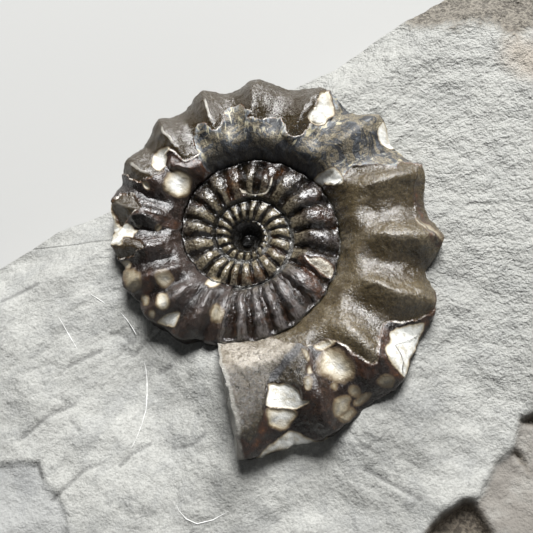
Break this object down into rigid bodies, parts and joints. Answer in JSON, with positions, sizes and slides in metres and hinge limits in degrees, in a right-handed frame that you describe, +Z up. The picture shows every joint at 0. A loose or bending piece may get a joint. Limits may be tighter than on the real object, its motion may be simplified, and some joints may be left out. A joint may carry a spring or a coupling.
{
  "type": "ammonite fossil on mudstone block",
  "caption": "Ribbed evolute ammonite, loose in a socket in an irregular flat-based block of grey mudstone; the ammonite overhangs the block's broken edge.",
  "frame": {"origin": "centre of the block's bounding rectangle, on the flat base it rests on", "axes": "+Z up, along the axis of the coil; +X and +Y in the plane of the coil; the broken mouth of the shell points towards -Y"},
  "size_m": [0.1, 0.092, 0.0268],
  "materials": {
    "fossil_shell": "glossy brown to black calcite shell and cast, with cream and white calcite spots",
    "grey_mudstone": "matt, tooled and brushed"
  },
  "bodies": {
    "root": {"ammonite": "fossil_shell", "matrix_stone": "grey_mudstone"}
  },
  "joints": []
}
